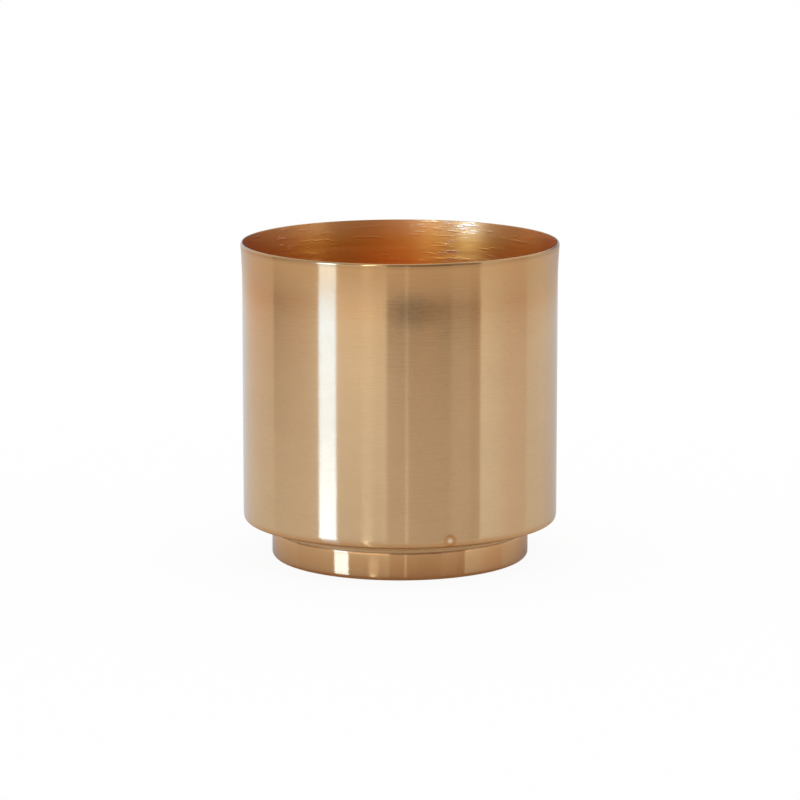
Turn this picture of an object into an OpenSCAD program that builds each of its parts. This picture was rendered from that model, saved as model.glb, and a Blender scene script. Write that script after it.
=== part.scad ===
// Pedestal vase: a straight cup spun from one disc of sheet, brazed onto a
// narrower pan foot that is drawn from sheet and stands upside down.
// Millimetres. Z is the axis that every piece turns about, and the foot stands
// on z = 0 with its centre at the origin.

/* [Overall] */
// Height from the table to the top of the rim
overall_h = 101.6; // [60:0.1:160]
// Outside diameter at the rim
mouth_d = 101.6; // [92:0.1:160]

/* [Cup] */
// Thickness of the cup's sheet
cup_t = 0.7; // [0.4:0.05:1.5]
// Inside radius of the tight bend between floor and wall
floor_bend_r = 0.3; // [0.2:0.05:6]
// Outside radius of the soft tuck between that bend and the straight wall
tuck_r = 9; // [3:0.5:40]
// How far the wall leans in at the foot of the tuck, in degrees
tuck_angle = 12; // [4:1:40]

/* [Rim] */
// Height of the stretch below the rim over which the wall opens gently
flare_h = 12.6; // [4:0.1:40]
// How far the wall has moved out at the top of that stretch
flare_out = 0.46; // [0.05:0.01:1]
// Radius that the rim's outer corner is dressed to
edge_r = 0.9; // [0.3:0.05:3]
// How far that dressing turns before the tip of the sheet, in degrees
edge_turn = 50; // [20:1:75]

/* [Foot] */
// Outside diameter of the foot
foot_d = 82.3; // [60:0.1:94]
// Height of the foot, which is where the cup's underside lies
foot_h = 12.2; // [8:0.1:40]
// Thickness of the foot's sheet
foot_t = 0.7; // [0.4:0.05:1.5]
// Inside radius of the shoulder round the top of the foot
shoulder_r = 3.3; // [1.5:0.1:5]
// Inside radius of the bend at the bottom edge
edge_bend_r = 0.7; // [0.2:0.05:3]
// Width of the flat face turned in under the foot
flange_w = 2.5; // [1:0.1:12]

/* [Braze] */
// Thinnest braze kept in the groove between shoulder and cup
braze_gap_min = 0.02; // [0.01:0.01:0.05]
// Widest gap that the braze still fills
braze_gap_max = 0.5; // [0.35:0.05:1]

/* [Hidden] */
$fn = 180;

// Arcs are drawn with a point at least this often, in degrees, and never with
// fewer than this many chords
arc_step = 7.5;
arc_chords = 4;

// Bends of the cup, as radii of the sheet's outside face
floor_bend_out = floor_bend_r + cup_t;
flare_r = (pow(flare_h, 2) + pow(flare_out, 2)) / (2 * flare_out);
flare_angle = asin(flare_h / flare_r);

// The rim's section: the outer corner dressed to an arc, then a smaller arc
// that meets the inside face. The dressing never takes the whole thickness.
tip_share = 0.2;
dress_angle = edge_turn + flare_angle;
dress_r = min(edge_r, (1 - tip_share) * cup_t / (1 - cos(dress_angle)));
tip_r = (cup_t - dress_r * (1 - cos(dress_angle))) / (1 + cos(dress_angle));
inside_rise = (dress_r - tip_r) * sin(dress_angle);
tip_h = inside_rise * cos(flare_angle) + (cup_t - tip_r) * sin(flare_angle) + tip_r;

// Radii that follow from the diameters
body_r = mouth_d / 2 - flare_out - dress_r * (1 - cos(flare_angle));
foot_r = foot_d / 2;

// Heights and widths that the bends leave for the straight stretches
floor_bend_h = floor_bend_out * (1 - sin(tuck_angle));
floor_bend_w = floor_bend_out * cos(tuck_angle);
tuck_h = tuck_r * sin(tuck_angle);
tuck_w = tuck_r * (1 - cos(tuck_angle));
floor_flat_r = body_r - tuck_w - floor_bend_w;
wall_h = overall_h - foot_h - floor_bend_h - tuck_h - flare_h - tip_h;

// Bends of the foot, as radii of its outside face
shoulder_out = shoulder_r + foot_t;
edge_out = edge_bend_r + foot_t;
foot_wall_h = foot_h - shoulder_out - edge_out;
foot_plate_r = foot_r - shoulder_out;

// A sheet's section is a list of steps along its outside face, with the metal
// on the left. A straight step is [length, 0] and a bend is [radius, angle],
// which turns left where the angle is positive.
cup_steps = [
    [floor_flat_r, 0],
    [floor_bend_out, 90 - tuck_angle],
    [tuck_r, tuck_angle],
    [wall_h, 0],
    [flare_r, -flare_angle]
];
rim_steps = [
    [dress_r, dress_angle],
    [tip_r, 180 - dress_angle]
];
foot_steps = [
    [flange_w, 0],
    [edge_out, 90],
    [foot_wall_h, 0],
    [shoulder_out, 90],
    [foot_plate_r, 0]
];
cup_start = [0, foot_h, 0];
foot_start = [foot_r - edge_out - flange_w, 0, 0];

// A pose is [radius, height, heading] on the outside face
function left_of(pose, d) = [pose[0] - d * sin(pose[2]), pose[1] + d * cos(pose[2])];

// The pose after the first share of a step
function along(pose, step, share) =
    step[1] == 0
    ? [pose[0] + share * step[0] * cos(pose[2]),
       pose[1] + share * step[0] * sin(pose[2]),
       pose[2]]
    : let (r = step[0] * sign(step[1]),
           centre = left_of(pose, r),
           heading = pose[2] + share * step[1])
      [centre[0] + r * sin(heading), centre[1] - r * cos(heading), heading];

function chords(step) = step[1] == 0 ? 1 : max(arc_chords, ceil(abs(step[1]) / arc_step));

// The poses at the ends of one step's chords, without its first
function step_poses(pose, step) =
    let (n = chords(step))
    [for (i = [1 : n]) along(pose, step, i / n)];

// All poses of a section from step i on
function trace(steps, pose, i = 0) =
    i == len(steps)
    ? [pose]
    : concat([pose], trace_rest(steps, step_poses(pose, steps[i]), i));
function trace_rest(steps, poses, i) =
    concat([for (k = [0 : 1 : len(poses) - 2]) poses[k]],
           trace(steps, last(poses), i + 1));

function reversed(list) = [for (i = [len(list) - 1 : -1 : 0]) list[i]];

function last(list) = list[len(list) - 1];
function on_outside(poses) = [for (p = poses) [p[0], p[1]]];
function on_inside(poses, t) = [for (p = poses) left_of(p, t)];

// The section of a sheet of thickness t, cut square at both ends
module sheet_section(steps, start, t) {
    poses = trace(steps, start);
    polygon(concat(on_outside(poses), reversed(on_inside(poses, t))));
}

// The same with the far end rounded by the rim's two arcs, up to where the
// inside face starts
module rimmed_section(steps, start, t) {
    outside = trace(steps, start);
    inside = trace(concat(steps, [[inside_rise, 0]]), start);
    rim = trace(rim_steps, last(outside));
    edge = [for (i = [1 : len(rim) - 2]) rim[i]];
    polygon(concat(on_outside(outside), on_outside(edge), reversed(on_inside(inside, t))));
}

// Gap between the foot's shoulder and the cup's flat underside
function gap_at(pose) = foot_h - pose[1];

// The concave face of the braze, from the shoulder up to the cup's underside
function meniscus(low, high, n) =
    let (pulled = [low[0], high[1]])
    [for (i = [1 : n])
        let (s = i / n)
        pow(1 - s, 2) * low + 2 * s * (1 - s) * pulled + pow(s, 2) * high];

module cup() {
    color([0.80, 0.62, 0.42])
        rotate_extrude()
            rimmed_section(cup_steps, cup_start, cup_t);
}

module foot() {
    color([0.76, 0.56, 0.36])
        rotate_extrude()
            sheet_section(foot_steps, foot_start, foot_t);
}

// Braze drawn into the groove that the rounded shoulder leaves under the cup
module braze_fillet() {
    shoulder = [for (p = trace(foot_steps, foot_start))
        if (p[2] >= 90 && gap_at(p) > braze_gap_min && gap_at(p) < braze_gap_max) p];
    outer = shoulder[0];
    inner = last(shoulder);
    low = [outer[0], outer[1]];
    high = [outer[0] + gap_at(outer) / 2, foot_h];
    seat = reversed(on_outside(shoulder));
    color([0.83, 0.72, 0.50])
        rotate_extrude()
            polygon(concat([[inner[0], foot_h]], seat, meniscus(low, high, arc_chords)));
}

cup();
foot();
braze_fillet();
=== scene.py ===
"""Dressed model of the pedestal vase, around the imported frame.

Sizes are in millimetres where a name ends in _MM, and in metres elsewhere.
The sizes of the vase are the ones that part.scad names. Angles are in
degrees, and colours are linear.
"""

import math

import bpy
import numpy as np
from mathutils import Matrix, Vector

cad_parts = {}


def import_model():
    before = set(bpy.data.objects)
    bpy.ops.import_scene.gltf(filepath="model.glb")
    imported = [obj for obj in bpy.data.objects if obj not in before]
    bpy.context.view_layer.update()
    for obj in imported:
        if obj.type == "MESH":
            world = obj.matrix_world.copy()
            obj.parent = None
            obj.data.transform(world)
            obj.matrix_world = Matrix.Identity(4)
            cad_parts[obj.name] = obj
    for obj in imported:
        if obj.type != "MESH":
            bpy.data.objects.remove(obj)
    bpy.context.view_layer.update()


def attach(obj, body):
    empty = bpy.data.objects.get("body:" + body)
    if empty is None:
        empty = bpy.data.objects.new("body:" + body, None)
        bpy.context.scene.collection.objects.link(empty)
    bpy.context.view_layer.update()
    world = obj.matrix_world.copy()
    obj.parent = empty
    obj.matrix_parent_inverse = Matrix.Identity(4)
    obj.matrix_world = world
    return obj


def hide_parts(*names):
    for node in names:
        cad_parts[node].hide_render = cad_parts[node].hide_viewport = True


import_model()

# Sizes of the vase, as in part.scad
OVERALL_H_MM = 101.6
MOUTH_D_MM = 101.6
CUP_T_MM = 0.7
FLOOR_BEND_R_MM = 0.3
TUCK_R_MM = 9.0
TUCK_ANGLE = 12.0
FLARE_H_MM = 12.6
FLARE_OUT_MM = 0.46
EDGE_R_MM = 0.9
EDGE_TURN = 50.0
FOOT_D_MM = 82.3
FOOT_H_MM = 12.2
FOOT_T_MM = 0.7
SHOULDER_R_MM = 3.3
EDGE_BEND_R_MM = 0.7
FLANGE_W_MM = 2.5
BRAZE_GAP_MIN_MM = 0.02
BRAZE_GAP_MAX_MM = 0.5

# How finely the sheet's section is traced: the longest row in each step of it
ARC_STEP = 6.0
CUP_ROWS_MM = (4.0, 0.3, 0.4, 1.8, 1.5)
CUP_ROWS_INSIDE_MM = (4.0, 0.3, 0.4, 1.2, 0.45, 0.45, 0.3)
EDGE_ROWS_MM = (0.1, 0.1)
FOOT_ROWS_MM = (1.0, 0.3, 1.5, 0.3, 4.0)
# The top of the inner wall, where the rows are fine enough for the nicks
NICKED_WALL_MM = 9.0
# The braze's free face, and the direction that it faces
BRAZE_FACE_ROWS = 8
BRAZE_FACING = -45.0
# Points round the vase, the radius that counts as the axis, and the angle that makes an edge sharp
SEGMENTS = 384
AXIS_R_MM = 1e-6
SHARP_ANGLE = 50.0

# Slow swells of the outside, as (size, waves round the vase, millimetres upwards for each radian, phase)
SWELLS_MM = [
    (0.003, 3, 17, 0.4),
    (0.002, 7, -11, 1.9),
    (0.0008, 16, 7.3, 2.7),
]
# They lie this far inside the CAD face, so that none stands proud, and fade out towards both ends
SWELL_SINK_MM = 0.006
SWELL_FADE_MM = 6
LOW_EVEN_MM = 1.0
HIGH_EVEN_MM = 1.5

# Rings that the spinning tool leaves inside, finer and coarser ones laid over each other
TOOL_RINGS = 7
RING_PITCH_MM = 1.3
RING_PITCH_STEP_MM = 0.53
RING_DEPTH = 0.0016
RING_LEAN_MM = 9
RING_SHIFT = 1.7

# Short nicks near the mouth, spread evenly by steps that never repeat. The golden angle is in radians.
DENTS = 150
GOLDEN_ANGLE = 2.39996
DENT_LEVEL_STEP = 0.754877
DENT_LENGTH_STEP = 0.569840
DENTS_LOW_MM = 84
DENTS_RANGE_MM = 16.5
DENT_LENGTH_MM = 1.2
DENT_LENGTH_RANGE_MM = 1.9
DENT_HALF_H_MM = 0.4
DENT_DEPTH_MM = 0.018

# The rings and nicks fade out below the rim
RIM_EVEN_MM = 0.8
RIM_FADE_MM = 1.5

# Camera
CAMERA_PLACE = (0.0, -1.2530, 0.2806)
CAMERA_AIM = (0.0, 0.0, 0.0508)
LENS_MM = 178.8
SENSOR_MM = 36.0
SHIFT = (0.0, -0.0026)

# Studio: circles round the vase on which the wall and lamps stand, and degrees between the wall's columns
WALL_R = 1.4
SOFTBOX_R = 1.38
LAMP_R = 1.36
POST_STEP = 3
# The table's tints, and the distances from the vase at which they run into each other. The golden tint
# near the vase is painted warm light bounced from the brass, and the dim tint far from it is painted shade
FLOOR_HALF = 3.0
FLOOR_ROUGH = 0.05
TABLE_BOUNCE_LIGHT = (0.66, 0.45, 0.28)
TABLE_BRIGHT = (0.78, 0.71, 0.665)
TABLE_FAR_SHADE = (0.24, 0.14, 0.06)
TABLE_BOUNCE_LIGHT_R = 0.055
TABLE_PLAIN_R = 0.09
TABLE_BRIGHT_R = 0.52
TABLE_FAR_SHADE_R = 0.70
# The table's plain side for the camera, and how much it glows for the camera and in reflections
PLAIN_WHITE = (0.95, 0.95, 0.95)
CAMERA_GLOW = 0.93
GLOSSY_GLOW = 0.1
# The dark floor in front, between two azimuths from its near edge to the wall, just above the table
FRONT_FLOOR = (0.19, 0.11, 0.05)
FRONT_EDGE_R = 0.62
FRONT_LEFT = -9.2
FRONT_RIGHT = 58.7
FRONT_PLACES = 24
FRONT_LEVEL = 0.0005

# Noise patterns on the metal, as (cells to the metre round the vase, cells upwards, detail, roughness)
CLOUDS = (40, 90, 3, 0.6)
FINE_LINES = (90, 2600, 4, 0.65)
GRAIN = (380, 1700, 3, 0.7)
PATCHES = (70, 25, 1, 0.5)
RIPPLES = (480, 900, 1, 0.5)
DARK_PATCH_GRAIN = (900, 2600, 2, 0.6)
HALO_GRAIN = (700, 700, 2, 0.6)
NICK_STREAKS = (200, 1600, 1, 0.5)
SPUN_CLOUDS = (30, 200, 4, 0.6)
SPUN_LINES = (160, 1500, 4, 0.65)
SPUN_RIDGES = (120, 800, 2, 0.5)
# Nearly all of a noise pattern lies in this range
NOISE_RANGE = (0.3, 0.7)

# Brass, each as its two colours, which clouds and grain mix
CUP_TONES = ((0.645, 0.431, 0.230), (0.725, 0.489, 0.264))
# The foot's tones are deeper and more orange than the cup's: painted shade from the overhanging cup and
# painted warm reflection of the brass on the table
FOOT_SHADED_TONES = ((0.67, 0.40, 0.185), (0.71, 0.425, 0.20))
BRAZE_TONES = ((0.70, 0.54, 0.34), (0.76, 0.60, 0.40))
# The inside's tones are deeper and redder than the outside's: painted light bounced many times in the deep
# cup
SPUN_AND_BOUNCED_TONES = ((0.94, 0.40, 0.070), (0.98, 0.44, 0.090))
CLOUD_SHARE = 0.4
GRAIN_SHARE = 0.6
# How rough each one is, and how deep its brushed lines are
CUP_ROUGH = (0.10, 0.14)
FOOT_ROUGH = (0.08, 0.12)
BRAZE_ROUGH = (0.25, 0.35)
SPUN_ROUGH = (0.35, 0.38)
CUP_LINES = 0.000005
FOOT_LINES = 0.000002
BRAZE_LINES = 0.000003
SPUN_DEPTH = 0.00005
# How strongly the lines stretch the gloss, and the quarter turn that points it along them
BRUSHED = 0.75
SPUN = 0.5
QUARTER_TURN = 0.25
# Four numbers are a range: (from, to) of a pattern, height or distance, then (from, to) of the result
RIPPLE_PATCHES = (0.42, 0.62, 0.15, 1.0)

# Tints on the brass, most of them over ranges of height: its own specks and stain, and painted shade and
# painted reflection where noted
# A darker tint: tarnish with painted shade in the crevice above the foot, a painted dark reflection across
# the foot's shoulder, and a darker mouth
DARKENING_TINT = (0.34, 0.20, 0.10)
# Tarnish with painted shade in the crevice above the foot
CREVICE_SHADE = (0.0122, 0.0128, 0.8, 0)
DIM_MOUTH = (0.0996, 0.1009, 0, 0.3)
# Painted reflection: the cup warmer and deeper in colour high up
WARM_REFLECTION_TINT = (0.645, 0.37, 0.158)
WARM_REFLECTION_BAND = (0.082, 0.098, 0, 0.9)
STAIN = (1.0, 0.69, 0.35)
STAINED = (0.0087, 0.0091, 0, 1)
STAIN_ROUGH = 0.6
STAIN_METAL = 0.1
# Painted reflection: a dark line across the foot's shoulder, at the lower edge of the stain
PAINTED_LINE_STARTS = (0.0085, 0.0087, 0, 0.6)
PAINTED_LINE_ENDS = (0.0090, 0.0092, 0, 0.6)
SPECK = (0.36, 0.23, 0.12)
SPECK_CELLS = 150
SPECK_R = 0.00025
SPECK_CORE = 0.6

# A small round blemish low on the right, with a ring and a broken halo, and a pale middle that is a
# painted highlight
BLEMISH = (0.0155, -0.0477, 0.0144)
BLEMISH_R = 0.0008
BLEMISH_HIGHLIGHT = (0.90, 0.78, 0.58)
BLEMISH_RING_R = 0.00095
BLEMISH_RING = (0.56, 0.23, 0.04)
HALO_INNER_R = 0.0014
HALO_OUTER_R = 0.0020
HALO_PATCHES = (0.35, 0.55, 0.4, 1.0)
# A place's soft edge, as shares of its size
SOFT_EDGE = (0.75, 1.15)

# A soft painted dark reflection high on the front
DARK_PATCH = (0.0042, 0.0, 0.0868)
DARK_PATCH_HALF_W = 0.0095
DARK_PATCH_HALF_H = 0.0062
DARK_PATCH_TINT = (0.36, 0.27, 0.16)
DARK_PATCH_FADE = (0.35, 1.1, 0.55, 0)
DARK_PATCH_BREAKS = (0.6, 1.2)
FRONT_SIDE = (-0.03, -0.04, 0, 1)

# The inside: painted light near the mouth, and painted shade deeper in colour far from the middle on both
# sides
MOUTH_LIGHT_TINT = (0.99, 0.49, 0.17)
LIT_NEAR_MOUTH = (0.0945, 0.1000, 0, 1)
SIDE_SHADE_TINT = (0.52, 0.22, 0.06)
SHADED_SIDES = (0.026, 0.050, 0, 0.95)
RIDGE_RANGE = (0.60, 0.74, 0, 1)
LINE_RELIEF = 0.03
# Groups of nicks inside the mouth, each as (place, size)
NICKS_TOP = ((0.0145, 0.0482, 0.0990), 0.0125)
NICKS_MIDDLE = ((0.0160, 0.0475, 0.0916), 0.0038)
NICKS_LEFT = ((-0.0370, 0.0332, 0.0968), 0.0046)
NICKS_TOP_FROM = (0.0962, 0.0974, 0, 1)
NICK_RANGE = (0.54, 0.68, 0, 1)
# The nicks' paler tint is a painted glint
NICK_GLINT_TINT = (1.0, 0.74, 0.46)
NICK_RELIEF = 0.4
NICK_GLOSS = 0.18

# Sockets of a Mix node that mixes colours
MIX_COLOURS = (6, 7)
MIX_RESULT = 2

# Light leaves the deep cup only after many reflections
GLOSSY_BOUNCES = 12


def sin(a):
    return math.sin(math.radians(a))


def cos(a):
    return math.cos(math.radians(a))


# Sections of sheet, traced as in part.scad: a list of steps along the outside
# face with the metal on the left, where a step is (length, 0) or (radius, angle)


def left_of(pose, d):
    r, z, heading = pose
    return (r - d * sin(heading), z + d * cos(heading))


def along(pose, step, share):
    size, turn = step
    r, z, heading = pose
    if turn == 0:
        return (r + share * size * cos(heading), z + share * size * sin(heading), heading)
    radius = math.copysign(size, turn)
    centre = left_of(pose, radius)
    after = heading + share * turn
    return (centre[0] + radius * sin(after), centre[1] - radius * cos(after), after)


def trace(steps, start, rows_mm):
    """Poses along the outside face, with a row at least every so many millimetres in each step."""
    poses = [start]
    for (size, turn), row_mm in zip(steps, rows_mm):
        length = size if turn == 0 else size * math.radians(abs(turn))
        rows = max(1, math.ceil(length / row_mm))
        if turn:
            rows = max(rows, math.ceil(abs(turn) / ARC_STEP))
        pose = poses[-1]
        poses += [along(pose, (size, turn), (i + 1) / rows) for i in range(rows)]
    return poses


def edge_sizes():
    """Radius and angle of the flare, and turn, tip radius and rise of the dressed rim, as in part.scad."""
    flare_r = (FLARE_H_MM**2 + FLARE_OUT_MM**2) / (2 * FLARE_OUT_MM)
    flare = math.degrees(math.asin(FLARE_H_MM / flare_r))
    turn = EDGE_TURN + flare
    tip_r = (CUP_T_MM - EDGE_R_MM * (1 - cos(turn))) / (1 + cos(turn))
    rise = (EDGE_R_MM - tip_r) * sin(turn)
    return flare_r, flare, turn, tip_r, rise


def cup_steps():
    flare_r, flare, _, tip_r, rise = edge_sizes()
    edge_h = (CUP_T_MM - tip_r) * sin(flare) + rise * cos(flare) + tip_r
    body_r = MOUTH_D_MM / 2 - FLARE_OUT_MM - EDGE_R_MM * (1 - cos(flare))
    bend_out = FLOOR_BEND_R_MM + CUP_T_MM
    bend_h = bend_out * (1 - sin(TUCK_ANGLE))
    tuck_h = TUCK_R_MM * sin(TUCK_ANGLE)
    flat_r = body_r - TUCK_R_MM * (1 - cos(TUCK_ANGLE)) - bend_out * cos(TUCK_ANGLE)
    wall_h = OVERALL_H_MM - FOOT_H_MM - bend_h - tuck_h - FLARE_H_MM - edge_h
    return [
        (flat_r, 0),
        (bend_out, 90 - TUCK_ANGLE),
        (TUCK_R_MM, TUCK_ANGLE),
        (wall_h, 0),
        (flare_r, -flare),
    ]


def foot_steps():
    shoulder_out = SHOULDER_R_MM + FOOT_T_MM
    edge_out = EDGE_BEND_R_MM + FOOT_T_MM
    return [
        (FLANGE_W_MM, 0),
        (edge_out, 90),
        (FOOT_H_MM - shoulder_out - edge_out, 0),
        (shoulder_out, 90),
        (FOOT_D_MM / 2 - shoulder_out, 0),
    ]


def foot_start():
    return (FOOT_D_MM / 2 - EDGE_BEND_R_MM - FOOT_T_MM - FLANGE_W_MM, 0.0, 0.0)


def direction(angle):
    return (cos(angle), sin(angle))


def face_rows(poses, thickness, inside):
    """Rows of one face as (radius, height, outward direction)."""
    rows = []
    for pose in poses:
        r, z = left_of(pose, thickness) if inside else pose[:2]
        rows.append((r, z, pose[2] + 90 if inside else pose[2] - 90))
    return rows


def cup_outline():
    """Rows of the cup round its whole section, and the name of the face each is on."""
    start = (0.0, FOOT_H_MM, 0.0)
    turn, tip_r, rise = edge_sizes()[2:]
    outer = trace(cup_steps(), start, CUP_ROWS_MM)
    edge = trace([(EDGE_R_MM, turn), (tip_r, 180 - turn)], outer[-1], EDGE_ROWS_MM)[1:]
    floor_and_tuck = cup_steps()[:3]
    wall, flare = cup_steps()[3:]
    walls = [(wall[0] - NICKED_WALL_MM, 0), (NICKED_WALL_MM, 0)]
    inner = trace(floor_and_tuck + walls + [flare, (rise, 0)], start, CUP_ROWS_INSIDE_MM)
    rows = [(row, "out") for row in face_rows(outer, CUP_T_MM, False)]
    rows += [(row, "lip") for row in face_rows(edge[:-1], CUP_T_MM, False)]
    rows += [(row, "in") for row in reversed(face_rows(inner, CUP_T_MM, True))]
    return rows


def foot_outline():
    outer = trace(foot_steps(), foot_start(), FOOT_ROWS_MM)
    rows = [(row, "out") for row in face_rows(outer, FOOT_T_MM, False)]
    rows += [(row, "in") for row in reversed(face_rows(outer, FOOT_T_MM, True))]
    return rows


def braze_outline():
    """Braze in the groove that the rounded shoulder leaves under the cup."""
    poses = trace(foot_steps(), foot_start(), FOOT_ROWS_MM)
    shoulder = [p for p in poses if p[2] >= 90]
    seat = [p for p in shoulder if BRAZE_GAP_MIN_MM < FOOT_H_MM - p[1] < BRAZE_GAP_MAX_MM]
    low = np.array(seat[0][:2])
    high = np.array([seat[0][0] + (FOOT_H_MM - seat[0][1]) / 2, FOOT_H_MM])
    pulled = np.array([low[0], high[1]])
    rows = [((seat[-1][0], FOOT_H_MM, 90.0), "top")]
    rows += [((p[0], p[1], p[2] + 90), "seat") for p in reversed(seat)]
    for i in range(1, BRAZE_FACE_ROWS + 1):
        s = i / BRAZE_FACE_ROWS
        r, z = (1 - s) ** 2 * low + 2 * s * (1 - s) * pulled + s**2 * high
        rows.append(((r, z, BRAZE_FACING), "face"))
    return rows


# Unevenness that spinning and polishing leave in the sheet, in millimetres


def polishing(azimuth, height):
    """Slow swells of the outside, which make the reflections waver."""
    swell = np.zeros_like(azimuth)
    for size, waves, pitch, phase in SWELLS_MM:
        swell += size * np.sin(waves * azimuth + height / pitch + phase)
    return swell


def tool_rings(azimuth, height):
    """Rings that the spinning tool leaves inside, each strong on a part of its turn only."""
    rings = np.zeros_like(azimuth)
    for i in range(TOOL_RINGS):
        pitch = RING_PITCH_MM + RING_PITCH_STEP_MM * i
        waves = 1 + i % 4
        strength = 0.5 + 0.5 * np.sin(azimuth * waves + RING_SHIFT * i + height / RING_LEAN_MM)
        rings += strength * np.sin(2 * math.pi * height / pitch + i) * pitch
    return RING_DEPTH * rings


def dents(azimuth, height):
    """Short nicks along the turn near the mouth."""
    depth = np.zeros_like(azimuth)
    for i in range(DENTS):
        place = (i * GOLDEN_ANGLE) % (2 * math.pi)
        level = DENTS_LOW_MM + DENTS_RANGE_MM * ((i * DENT_LEVEL_STEP) % 1)
        length = DENT_LENGTH_MM + DENT_LENGTH_RANGE_MM * ((i * DENT_LENGTH_STEP) % 1)
        around = (azimuth - place + math.pi) % (2 * math.pi) - math.pi
        sideways = around * MOUTH_D_MM / 2 / length
        upwards = (height - level) / DENT_HALF_H_MM
        depth += np.exp(-(sideways**2 + upwards**2))
    return -DENT_DEPTH_MM * depth


def cup_uneven(kind, azimuth, height):
    if kind == "in":
        rise = np.clip((OVERALL_H_MM - RIM_EVEN_MM - height) / RIM_FADE_MM, 0, 1)
        return (tool_rings(azimuth, height) + dents(azimuth, height)) * rise
    if kind == "out":
        room = np.clip((height - FOOT_H_MM - LOW_EVEN_MM) / SWELL_FADE_MM, 0, 1)
        room = room * np.clip((OVERALL_H_MM - HIGH_EVEN_MM - height) / SWELL_FADE_MM, 0, 1)
        return (polishing(azimuth, height) - SWELL_SINK_MM) * room
    return np.zeros_like(azimuth)


def even(kind, azimuth, height):
    return np.zeros_like(azimuth)


# Pieces turned from an outline


def placed(name, data):
    """A new object in the scene's collection."""
    made = bpy.data.objects.new(name, data)
    bpy.context.scene.collection.objects.link(made)
    return made


def ring_points(row, kind, uneven):
    """The points of one ring, in metres. A row on the axis has a single point."""
    r, z, heading = row
    if r < AXIS_R_MM:
        return [(0.0, 0.0, z / 1000)]
    azimuths = np.arange(SEGMENTS) * 2 * math.pi / SEGMENTS
    push = uneven(kind, azimuths, np.full(SEGMENTS, z))
    outwards, upwards = direction(heading)
    radius = (r + push * outwards) / 1000
    level = (z + push * upwards) / 1000
    x, y = radius * np.cos(azimuths), radius * np.sin(azimuths)
    return list(zip(x.tolist(), y.tolist(), level.tolist()))


def band_faces(low, high):
    """The faces between two rings, each given as the numbers of its points."""
    if len(low) == 1 and len(high) == 1:
        return []
    faces = []
    for i in range(SEGMENTS):
        j = (i + 1) % SEGMENTS
        if len(low) == 1:
            faces.append((low[0], high[j], high[i]))
        elif len(high) == 1:
            faces.append((low[i], low[j], high[0]))
        else:
            faces.append((low[i], low[j], high[j], high[i]))
    return faces


def lathe(name, outline, uneven):
    """A closed mesh turned from an outline, with uneven(face, azimuth, height) added outwards."""
    points, rings, faces, insides = [], [], [], []
    for row, kind in outline:
        ring = ring_points(row, kind, uneven)
        rings.append((range(len(points), len(points) + len(ring)), kind))
        points += ring
    next_rings = rings[1:]
    if len(rings[0][0]) > 1:
        next_rings.append(rings[0])
    for (low, low_kind), (high, high_kind) in zip(rings, next_rings):
        band = band_faces(low, high)
        faces += band
        insides += [low_kind == "in" and high_kind == "in"] * len(band)
    mesh = bpy.data.meshes.new(name)
    mesh.from_pydata(points, [], faces)
    mesh.polygons.foreach_set("use_smooth", [True] * len(faces))
    mesh.polygons.foreach_set("material_index", [int(v) for v in insides])
    mesh.update()
    mesh.set_sharp_from_angle(angle=math.radians(SHARP_ANGLE))
    return placed(name, mesh)


# Materials


def new_material(name):
    material = bpy.data.materials.new(name)
    material.use_nodes = True
    tree = material.node_tree
    return material, tree, tree.nodes["Principled BSDF"]


def node(tree, kind, **settings):
    made = tree.nodes.new(kind)
    for name, value in settings.items():
        setattr(made, name, value)
    return made


def object_place(tree):
    return node(tree, "ShaderNodeTexCoord").outputs["Object"]


def stretched(tree, across, upward):
    """Object coordinates scaled so that a pattern runs in lines round the vase."""
    mapping = node(tree, "ShaderNodeMapping")
    mapping.inputs["Scale"].default_value = (across, across, upward)
    tree.links.new(object_place(tree), mapping.inputs["Vector"])
    return mapping.outputs["Vector"]


def noise(tree, pattern):
    """One of the noise patterns named at the top."""
    across, upward, detail, roughness = pattern
    vector = stretched(tree, across, upward)
    made = node(tree, "ShaderNodeTexNoise")
    made.inputs["Scale"].default_value = 1.0
    made.inputs["Detail"].default_value = detail
    made.inputs["Roughness"].default_value = roughness
    tree.links.new(vector, made.inputs["Vector"])
    return made.outputs["Fac"]


def ranged(tree, value, low, high, to_low, to_high):
    """A value that goes from to_low to to_high while the one given goes from low to high."""
    made = node(tree, "ShaderNodeMapRange")
    made.inputs["From Min"].default_value = low
    made.inputs["From Max"].default_value = high
    made.inputs["To Min"].default_value = to_low
    made.inputs["To Max"].default_value = to_high
    tree.links.new(value, made.inputs["Value"])
    return made.outputs["Result"]


def maths(tree, operation, a, b):
    """One operation on two sockets, or on a socket and a number."""
    made = node(tree, "ShaderNodeMath", operation=operation)
    for value, socket in ((a, made.inputs[0]), (b, made.inputs[1])):
        if isinstance(value, (int, float)):
            socket.default_value = value
        else:
            tree.links.new(value, socket)
    return made.outputs[0]


def mixed(tree, share, low, high):
    """A mix of two colours, each a socket or three numbers."""
    made = node(tree, "ShaderNodeMix", data_type="RGBA")
    for value, number in zip((low, high), MIX_COLOURS):
        socket = made.inputs[number]
        if isinstance(value, tuple):
            socket.default_value = (*value, 1)
        else:
            tree.links.new(value, socket)
    tree.links.new(share, made.inputs[0])
    return made.outputs[MIX_RESULT]


def bumped(tree, shader, height, distance):
    made = node(tree, "ShaderNodeBump")
    made.inputs["Strength"].default_value = 1.0
    made.inputs["Distance"].default_value = distance
    tree.links.new(height, made.inputs["Height"])
    tree.links.new(made.outputs["Normal"], shader.inputs["Normal"])


def part_of_place(tree, axis):
    """How far along one axis a place is."""
    parts = node(tree, "ShaderNodeSeparateXYZ")
    tree.links.new(object_place(tree), parts.inputs[0])
    return parts.outputs[axis]


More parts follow.
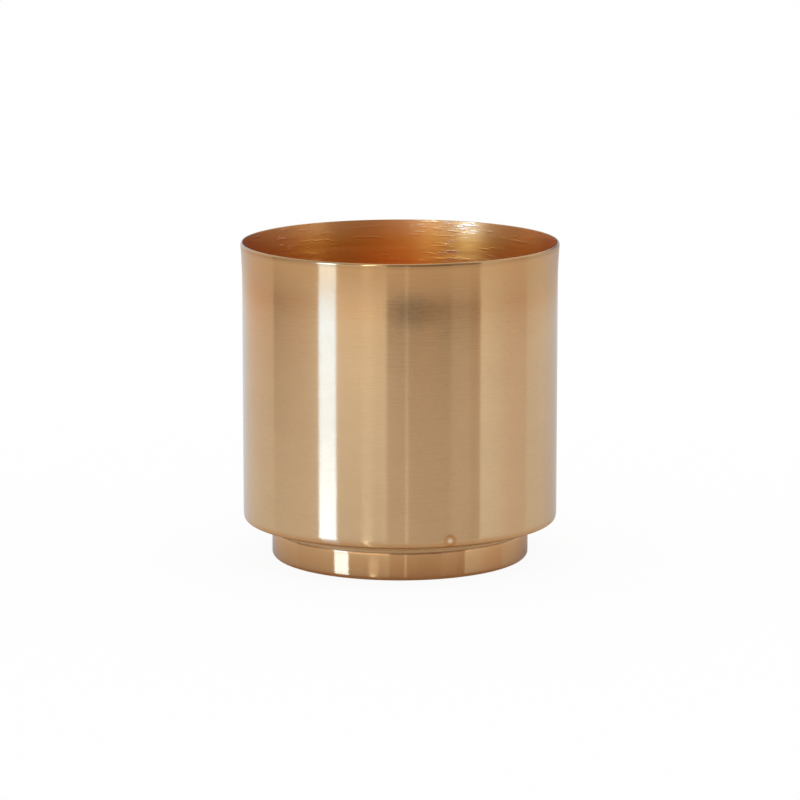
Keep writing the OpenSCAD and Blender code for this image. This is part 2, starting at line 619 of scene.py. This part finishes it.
def near(tree, place, size):
    """1 within about size of a place and 0 beyond, with a soft edge."""
    gap = node(tree, "ShaderNodeVectorMath", operation="DISTANCE")
    gap.inputs[1].default_value = place
    tree.links.new(object_place(tree), gap.inputs[0])
    starts, ends = SOFT_EDGE
    return ranged(tree, gap.outputs["Value"], starts * size, ends * size, 1, 0)


def specks(tree):
    """Small round specks, one in each cell of the metal."""
    made = node(tree, "ShaderNodeTexVoronoi")
    made.inputs["Scale"].default_value = 1.0
    tree.links.new(stretched(tree, SPECK_CELLS, SPECK_CELLS), made.inputs["Vector"])
    size = SPECK_R * SPECK_CELLS
    return ranged(tree, made.outputs["Distance"], SPECK_CORE * size, size, 1, 0)


def brushed_round(tree, shader, amount):
    """Metal with lines round the vase, so that its gloss spreads up and down."""
    shader.inputs["Metallic"].default_value = 1.0
    shader.inputs["Anisotropic"].default_value = amount
    shader.inputs["Anisotropic Rotation"].default_value = QUARTER_TURN
    tangent = node(tree, "ShaderNodeTangent", direction_type="RADIAL", axis="Z")
    tree.links.new(tangent.outputs[0], shader.inputs["Tangent"])


def brushed_brass(name, tones, rough, line_depth):
    """Bright brass with fine lines round the vase. Gives the material and its colour."""
    material, tree, shader = new_material(name)
    brushed_round(tree, shader, BRUSHED)
    cloud = ranged(tree, noise(tree, CLOUDS), *NOISE_RANGE, 0, CLOUD_SHARE)
    fine = noise(tree, FINE_LINES)
    grain = ranged(tree, noise(tree, GRAIN), *NOISE_RANGE, 0, GRAIN_SHARE)
    share = maths(tree, "ADD", cloud, grain)
    tree.links.new(ranged(tree, fine, *NOISE_RANGE, *rough), shader.inputs["Roughness"])
    patches = ranged(tree, noise(tree, PATCHES), *RIPPLE_PATCHES)
    ripple = maths(tree, "MULTIPLY", noise(tree, RIPPLES), patches)
    bumped(tree, shader, maths(tree, "ADD", fine, ripple), line_depth)
    colour = mixed(tree, share, *tones)
    tree.links.new(colour, shader.inputs["Base Color"])
    return material, tree, shader, colour


def painted_dark_patch(tree):
    """A soft grey-brown painted dark reflection high on the front, broken up by the lines round the vase.
    """
    gap = node(tree, "ShaderNodeVectorMath", operation="SUBTRACT")
    gap.inputs[1].default_value = DARK_PATCH
    tree.links.new(object_place(tree), gap.inputs[0])
    flat = node(tree, "ShaderNodeVectorMath", operation="MULTIPLY")
    flat.inputs[1].default_value = (1 / DARK_PATCH_HALF_W, 0, 1 / DARK_PATCH_HALF_H)
    tree.links.new(gap.outputs["Vector"], flat.inputs[0])
    away = node(tree, "ShaderNodeVectorMath", operation="LENGTH")
    tree.links.new(flat.outputs["Vector"], away.inputs[0])
    facing = ranged(tree, part_of_place(tree, "Y"), *FRONT_SIDE)
    soft = ranged(tree, away.outputs["Value"], *DARK_PATCH_FADE)
    grain = ranged(tree, noise(tree, DARK_PATCH_GRAIN), *NOISE_RANGE, *DARK_PATCH_BREAKS)
    return maths(tree, "MULTIPLY", maths(tree, "MULTIPLY", soft, grain), facing)


def blemished(tree, colour):
    """A small mark in a brown ring, with a broken halo round it, and a pale middle that is a painted
    highlight.
    """
    outer = near(tree, BLEMISH, HALO_OUTER_R)
    halo = maths(tree, "SUBTRACT", outer, near(tree, BLEMISH, HALO_INNER_R))
    patchy = ranged(tree, noise(tree, HALO_GRAIN), *HALO_PATCHES)
    colour = mixed(tree, maths(tree, "MULTIPLY", halo, patchy), colour, BLEMISH_RING)
    colour = mixed(tree, near(tree, BLEMISH, BLEMISH_RING_R), colour, BLEMISH_RING)
    # Painted highlight: the pale middle of the mark
    return mixed(tree, near(tree, BLEMISH, BLEMISH_R), colour, BLEMISH_HIGHLIGHT)


def banded(tree, colour, tint, band):
    """A colour with a tint over it in a band of heights."""
    return mixed(tree, ranged(tree, part_of_place(tree, "Z"), *band), colour, tint)


def cup_brass():
    """The cup's outside, with tarnish and painted shade in the crevice above the foot, a painted warm
    reflection high up, a darker mouth, a soft painted dark reflection on the front, and the specks and
    blemish that age left on it.
    """
    material, tree, shader, colour = brushed_brass("cup_brass", CUP_TONES, CUP_ROUGH, CUP_LINES)
    colour = mixed(tree, specks(tree), colour, SPECK)
    colour = blemished(tree, colour)
    # Tarnish with painted shade in the crevice above the foot
    colour = banded(tree, colour, DARKENING_TINT, CREVICE_SHADE)
    # Painted reflection: warmer high up on the cup
    colour = banded(tree, colour, WARM_REFLECTION_TINT, WARM_REFLECTION_BAND)
    colour = banded(tree, colour, DARKENING_TINT, DIM_MOUTH)
    # Painted dark reflection high on the front
    colour = mixed(tree, painted_dark_patch(tree), colour, DARK_PATCH_TINT)
    tree.links.new(colour, shader.inputs["Base Color"])
    return material


def foot_brass():
    """The foot's brass, deeper and more orange with painted shade and painted warm reflection, with a dull
    stain on the shoulder where the braze ran and a painted dark reflection across the shoulder below it.
    """
    material, tree, shader, colour = brushed_brass("foot_brass", FOOT_SHADED_TONES, FOOT_ROUGH, FOOT_LINES)
    level = part_of_place(tree, "Z")
    stain = ranged(tree, level, *STAINED)
    # A painted dark reflection across the shoulder
    painted_line = maths(tree, "SUBTRACT", ranged(tree, level, *PAINTED_LINE_STARTS), ranged(tree, level, *PAINTED_LINE_ENDS))
    colour = mixed(tree, stain, colour, STAIN)
    tree.links.new(mixed(tree, painted_line, colour, DARKENING_TINT), shader.inputs["Base Color"])
    gloss = shader.inputs["Roughness"].links[0].from_socket
    dull = maths(tree, "ADD", gloss, maths(tree, "MULTIPLY", stain, STAIN_ROUGH))
    tree.links.new(dull, shader.inputs["Roughness"])
    tree.links.new(ranged(tree, stain, 0, 1, 1, STAIN_METAL), shader.inputs["Metallic"])
    return material


def braze_metal():
    return brushed_brass("braze", BRAZE_TONES, BRAZE_ROUGH, BRAZE_LINES)[0]


def nicks_with_glints(tree):
    """Short nicks in three groups inside the mouth, made paler as a painted glint."""
    streaks = ranged(tree, noise(tree, NICK_STREAKS), *NICK_RANGE)
    high_up = ranged(tree, part_of_place(tree, "Z"), *NICKS_TOP_FROM)
    where = maths(tree, "MULTIPLY", near(tree, *NICKS_TOP), high_up)
    for group in (NICKS_MIDDLE, NICKS_LEFT):
        where = maths(tree, "MAXIMUM", where, near(tree, *group))
    return maths(tree, "MULTIPLY", streaks, where)


def spun_brass():
    """Brass as it comes off the spinning lathe, with lines round the vase that blur upwards. Its tones
    hold painted light bounced in the deep cup, painted light near the mouth, painted shade towards both
    sides and painted glints at the nicks.
    """
    material, tree, shader = new_material("cup_inside")
    brushed_round(tree, shader, SPUN)
    cloud = ranged(tree, noise(tree, SPUN_CLOUDS), *NOISE_RANGE, 0, 1)
    # Painted light: the inside lighter near the mouth
    colour = banded(tree, mixed(tree, cloud, *SPUN_AND_BOUNCED_TONES), MOUTH_LIGHT_TINT, LIT_NEAR_MOUTH)
    # Painted shade: the inside deeper in colour towards both sides
    sideways = maths(tree, "ABSOLUTE", part_of_place(tree, "X"), 0)
    colour = mixed(tree, ranged(tree, sideways, *SHADED_SIDES), colour, SIDE_SHADE_TINT)
    nicks = nicks_with_glints(tree)
    # Painted glints: the nicks paler
    tree.links.new(mixed(tree, nicks, colour, NICK_GLINT_TINT), shader.inputs["Base Color"])
    fine = noise(tree, SPUN_LINES)
    gloss = ranged(tree, fine, *NOISE_RANGE, *SPUN_ROUGH)
    gloss = maths(tree, "SUBTRACT", gloss, maths(tree, "MULTIPLY", nicks, NICK_GLOSS))
    tree.links.new(gloss, shader.inputs["Roughness"])
    ridges = ranged(tree, noise(tree, SPUN_RIDGES), *RIDGE_RANGE)
    relief = maths(tree, "ADD", maths(tree, "MULTIPLY", fine, LINE_RELIEF), ridges)
    relief = maths(tree, "ADD", relief, maths(tree, "MULTIPLY", nicks, NICK_RELIEF))
    bumped(tree, shader, relief, SPUN_DEPTH)
    return material


def finish_piece(piece, nodes, materials):
    for material in materials:
        piece.data.materials.append(material)
    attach(piece, "root")
    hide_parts(*nodes)


# Studio

# Light that comes from the room, as linear colours
DAY = (0.90, 1.16, 1.45)
PALE = (0.62, 0.64, 0.76)
MIST = (0.42, 0.60, 0.82)
DUSK = (0.33, 0.37, 0.45)
SHADE = (0.18, 0.15, 0.12)
CEILING = (0.95, 0.97, 1.0)
LOW_WARMTH = (1.55, 1.05, 0.70)

# Posts of the room's wall, as (azimuth, tint and its strength low on the wall,
# tint and its strength higher up, strength of the ceiling above). Azimuth 0 is
# the camera's side. Two posts at one azimuth make a sharp edge.
POSTS = [
    (-180, MIST, 1.5, MIST, 1.1, 1.0),
    (-150, MIST, 1.6, MIST, 1.4, 1.0),
    (-136, PALE, 1.2, DAY, 0.8, 1.0),
    (-103, PALE, 0.95, DAY, 0.8, 0.7),
    (-103, SHADE, 1.0, DAY, 0.70, 0.7),
    (-75, PALE, 0.8, DAY, 0.75, 0.6),
    (-60, DAY, 0.8, DAY, 0.8, 0.6),
    (-46, DAY, 1.15, DAY, 0.74, 0.5),
    (-30, DAY, 1.15, DAY, 0.71, 0.9),
    (-22, DAY, 1.25, DAY, 0.70, 1.7),
    (-15, DAY, 1.05, DAY, 0.76, 0.9),
    (-9.4, DAY, 1.0, DAY, 0.90, 0.4),
    (-9.4, DUSK, 1.1, DUSK, 1.35, 0.35),
    (3.9, DUSK, 0.7, DUSK, 1.2, 0.35),
    (4.5, DAY, 0.6, PALE, 2.6, 0.35),
    (5.1, DAY, 0.6, PALE, 2.6, 0.35),
    (5.9, DUSK, 0.6, DUSK, 1.05, 0.35),
    (20, SHADE, 1.4, DUSK, 0.72, 0.35),
    (35, SHADE, 0.7, DUSK, 0.8, 0.35),
    (38, DUSK, 0.9, DUSK, 1.2, 0.35),
    (50, DUSK, 1.0, DUSK, 1.1, 0.35),
    (52, SHADE, 1.5, DUSK, 0.8, 0.35),
    (59.2, SHADE, 1.5, DUSK, 0.7, 0.35),
    (59.2, DAY, 1.0, DAY, 1.1, 0.7),
    (74, DAY, 0.72, DAY, 0.95, 0.8),
    (86, PALE, 0.95, PALE, 1.2, 0.9),
    (103.5, PALE, 0.85, PALE, 1.0, 0.9),
    (103.5, DAY, 0.7, DAY, 0.8, 1.0),
    (122, DAY, 0.8, DAY, 0.68, 1.0),
    (144, MIST, 1.2, MIST, 0.7, 1.0),
    (157, MIST, 0.9, MIST, 0.5, 1.0),
    (180, MIST, 1.5, MIST, 1.1, 1.0),
]
# Heights of the wall's tiers
WALL_LOW = 0.128
WALL_MIDDLE = 0.145
WALL_HIGH = 0.27
WALL_EVEN = 0.42
LOFT_LOW = 0.75
LOFT_TOP = 3.0

# Lamps as rows of (height, left azimuth, right azimuth, strength)
SOFTBOX_TINT = (2.45, 4.25, 8.1)
SOFTBOX = [
    (0.0, -60.0, -46.4, 0.92),
    (0.24, -60.0, -46.4, 0.92),
    (0.262, -60.0, -46.4, 1.8),
    (0.31, -60.0, -46.4, 2.4),
    (0.50, -60.0, -46.4, 0.8),
    (0.80, -60.0, -46.4, 0.5),
    (1.30, -60.0, -46.4, 0.3),
]
LAMP_TINT = (9.0, 11.0, 13.0)
LAMP = [
    (0.25, -28.5, -17.5, 0.0),
    (0.272, -28.5, -17.5, 0.10),
    (0.30, -28.0, -18.0, 0.16),
    (0.40, -26.4, -22.4, 0.5),
    (0.50, -26.2, -24.2, 1.0),
    (0.72, -25.8, -23.8, 1.0),
    (1.10, -23.2, -21.2, 1.0),
    (1.60, -22.4, -20.4, 1.0),
]


def scaled(tint, strength):
    return tuple(strength * v for v in tint)


def blended(low, high, share):
    return tuple(p + share * (q - p) for p, q in zip(low, high))


def post_tints(post):
    """The tints up the wall at one post, as (height, tint) from the floor up."""
    low = scaled(post[1], post[2])
    high = scaled(post[3], post[4])
    ceiling = scaled(CEILING, post[5])
    warm = tuple(v * w for v, w in zip(low, LOW_WARMTH))
    return [
        (0.0, warm),
        (WALL_LOW, warm),
        (WALL_MIDDLE, low),
        (WALL_HIGH, high),
        (WALL_EVEN, high),
        (LOFT_LOW, ceiling),
        (LOFT_TOP, ceiling),
    ]


def round_place(radius, azimuth, height):
    return (radius * sin(azimuth), -radius * cos(azimuth), height)


def seen_in_gloss_only(made):
    """Leave an object to reflections only: the camera and plain surfaces don't see it or its shadow."""
    made.visible_camera = False
    made.visible_diffuse = False
    made.visible_shadow = False


def glow_material(name):
    """A material that glows with the tints of the mesh's corners."""
    material = bpy.data.materials.new(name)
    material.use_nodes = True
    tree = material.node_tree
    tree.nodes.clear()
    tint = node(tree, "ShaderNodeVertexColor", layer_name="tint")
    glow = node(tree, "ShaderNodeEmission")
    out = node(tree, "ShaderNodeOutputMaterial")
    tree.links.new(tint.outputs["Color"], glow.inputs["Color"])
    tree.links.new(glow.outputs[0], out.inputs[0])
    return material


def glowing(name, points, faces, tints):
    """A studio surface that glows with a tint at each corner of its faces."""
    mesh = bpy.data.meshes.new(name)
    mesh.from_pydata(points, [], faces)
    layer = mesh.color_attributes.new("tint", "FLOAT_COLOR", "CORNER")
    layer.data.foreach_set("color", [v for t in tints for v in (*t, 1.0)])
    mesh.materials.append(glow_material(name))
    made = placed(name, mesh)
    seen_in_gloss_only(made)


def wall_columns():
    """The wall's narrow columns, each as its left and right edge: (azimuth, tiers from the floor up)."""
    columns = []
    for first, second in zip(POSTS, POSTS[1:]):
        turn = second[0] - first[0]
        steps = max(1, math.ceil(turn / POST_STEP))
        ends = (post_tints(first), post_tints(second))
        for i in range(steps):
            edges = []
            for share in (i / steps, (i + 1) / steps):
                tiers = [(a[0], blended(a[1], b[1], share)) for a, b in zip(*ends)]
                edges.append((first[0] + share * turn, tiers))
            columns.append(edges)
    return columns


def room_wall():
    """The wall all round the vase, with its tints run together between the posts."""
    points, faces, tints = [], [], []
    for left, right in wall_columns():
        start = len(points)
        for azimuth, tiers in (left, right):
            points += [round_place(WALL_R, azimuth, height) for height, _ in tiers]
        rows = len(left[1])
        for j in range(rows - 1):
            low = start + j
            faces.append((low, low + 1, low + rows + 1, low + rows))
            tints += [left[1][j][1], left[1][j + 1][1], right[1][j + 1][1], right[1][j][1]]
    glowing("room_wall", points, faces, tints)


def panel(name, radius, rows, tint):
    """A lamp standing on the circle of the given radius."""
    points, faces, tints = [], [], []
    for height, left, right, _ in rows:
        points += [round_place(radius, left, height), round_place(radius, right, height)]
    for i in range(len(rows) - 1):
        faces.append((2 * i, 2 * i + 1, 2 * i + 3, 2 * i + 2))
        low, high = (scaled(tint, rows[k][3]) for k in (i, i + 1))
        tints += [low, low, high, high]
    glowing(name, points, faces, tints)


def seen_share(tree, camera_share, glossy_share):
    """A light path share that differs for the camera and for gloss or glass."""
    path = node(tree, "ShaderNodeLightPath")
    glossy, passing = path.outputs["Is Glossy Ray"], path.outputs["Is Transmission Ray"]
    gloss = maths(tree, "MAXIMUM", glossy, passing)
    part = maths(tree, "MULTIPLY", gloss, glossy_share)
    seen = maths(tree, "MULTIPLY", path.outputs["Is Camera Ray"], camera_share)
    return maths(tree, "ADD", part, seen)


def mixed_shaders(tree, share, low, high):
    made = node(tree, "ShaderNodeMixShader")
    for value, socket in zip((share, low, high), made.inputs):
        tree.links.new(value, socket)
    return made.outputs[0]


def table_tint(tree):
    """White, with painted warm light bounced from the brass close to the vase and painted shade far from
    it.
    """
    away = node(tree, "ShaderNodeVectorMath", operation="LENGTH")
    tree.links.new(object_place(tree), away.inputs[0])
    # Painted shade far from the vase, and painted warm light bounced from the brass close to it
    dim = ranged(tree, away.outputs["Value"], TABLE_BRIGHT_R, TABLE_FAR_SHADE_R, 0, 1)
    close = ranged(tree, away.outputs["Value"], TABLE_BOUNCE_LIGHT_R, TABLE_PLAIN_R, 1, 0)
    plain = mixed(tree, dim, TABLE_BRIGHT, TABLE_FAR_SHADE)
    return mixed(tree, close, plain, TABLE_BOUNCE_LIGHT)


def table_material():
    """Glossy in reflections. The camera sees a plain side that glows, so the ground stays white."""
    material, tree, shader = new_material("gloss_white_table")
    shader.inputs["Roughness"].default_value = FLOOR_ROUGH
    tree.links.new(table_tint(tree), shader.inputs["Base Color"])
    path = node(tree, "ShaderNodeLightPath")
    white = node(tree, "ShaderNodeBsdfDiffuse")
    white.inputs["Color"].default_value = (*PLAIN_WHITE, 1)
    face = mixed_shaders(tree, path.outputs["Is Camera Ray"], shader.outputs[0], white.outputs[0])
    glow = node(tree, "ShaderNodeEmission")
    glowing_share = seen_share(tree, CAMERA_GLOW, GLOSSY_GLOW)
    side = mixed_shaders(tree, glowing_share, face, glow.outputs[0])
    tree.links.new(side, tree.nodes["Material Output"].inputs[0])
    return material


def floor():
    """A glossy white table."""
    mesh = bpy.data.meshes.new("floor")
    h = FLOOR_HALF
    mesh.from_pydata([(-h, -h, 0), (h, -h, 0), (h, h, 0), (-h, h, 0)], [], [(0, 1, 2, 3)])
    mesh.materials.append(table_material())
    plane = placed("floor", mesh)


def front_floor():
    """The dark floor in front of the table's near edge, just out of the picture."""
    points, faces = [], []
    for azimuth in np.linspace(FRONT_LEFT, FRONT_RIGHT, FRONT_PLACES).tolist():
        points.append(round_place(FRONT_EDGE_R, azimuth, FRONT_LEVEL))
        points.append(round_place(WALL_R, azimuth, FRONT_LEVEL))
    for i in range(0, len(points) - 2, 2):
        faces.append((i, i + 1, i + 3, i + 2))
    mesh = bpy.data.meshes.new("front_floor")
    mesh.from_pydata(points, [], faces)
    material, _, shader = new_material("front_floor")
    shader.inputs["Base Color"].default_value = (*FRONT_FLOOR, 1)
    shader.inputs["Roughness"].default_value = FLOOR_ROUGH
    mesh.materials.append(material)
    made = placed("front_floor", mesh)
    seen_in_gloss_only(made)


def world():
    made = bpy.data.worlds.new("studio")
    bpy.context.scene.world = made
    made.use_nodes = True
    background = made.node_tree.nodes["Background"]
    background.inputs["Color"].default_value = (1, 1, 1, 1)
    background.inputs["Strength"].default_value = 1.0


def camera():
    data = bpy.data.cameras.new("camera")
    data.lens = LENS_MM
    data.sensor_width = SENSOR_MM
    data.shift_x, data.shift_y = SHIFT
    made = placed("camera", data)
    made.location = CAMERA_PLACE
    aim = Vector(CAMERA_AIM) - Vector(CAMERA_PLACE)
    made.rotation_euler = aim.to_track_quat("-Z", "Y").to_euler()
    bpy.context.scene.camera = made


camera()
world()
floor()
front_floor()
room_wall()
panel("softbox", SOFTBOX_R, SOFTBOX, SOFTBOX_TINT)
panel("lamp", LAMP_R, LAMP, LAMP_TINT)

# Each piece takes a material for its outside and one for its inside
cup = lathe("vase_cup", cup_outline(), cup_uneven)
finish_piece(cup, ["cup"], [cup_brass(), spun_brass()])
foot = lathe("vase_foot", foot_outline(), even)
finish_piece(foot, ["foot"], [foot_brass()] * 2)
braze = lathe("vase_braze", braze_outline(), even)
finish_piece(braze, ["braze_fillet"], [braze_metal()] * 2)

bpy.context.scene.cycles.glossy_bounces = GLOSSY_BOUNCES
bpy.context.scene.view_settings.view_transform = "Standard"
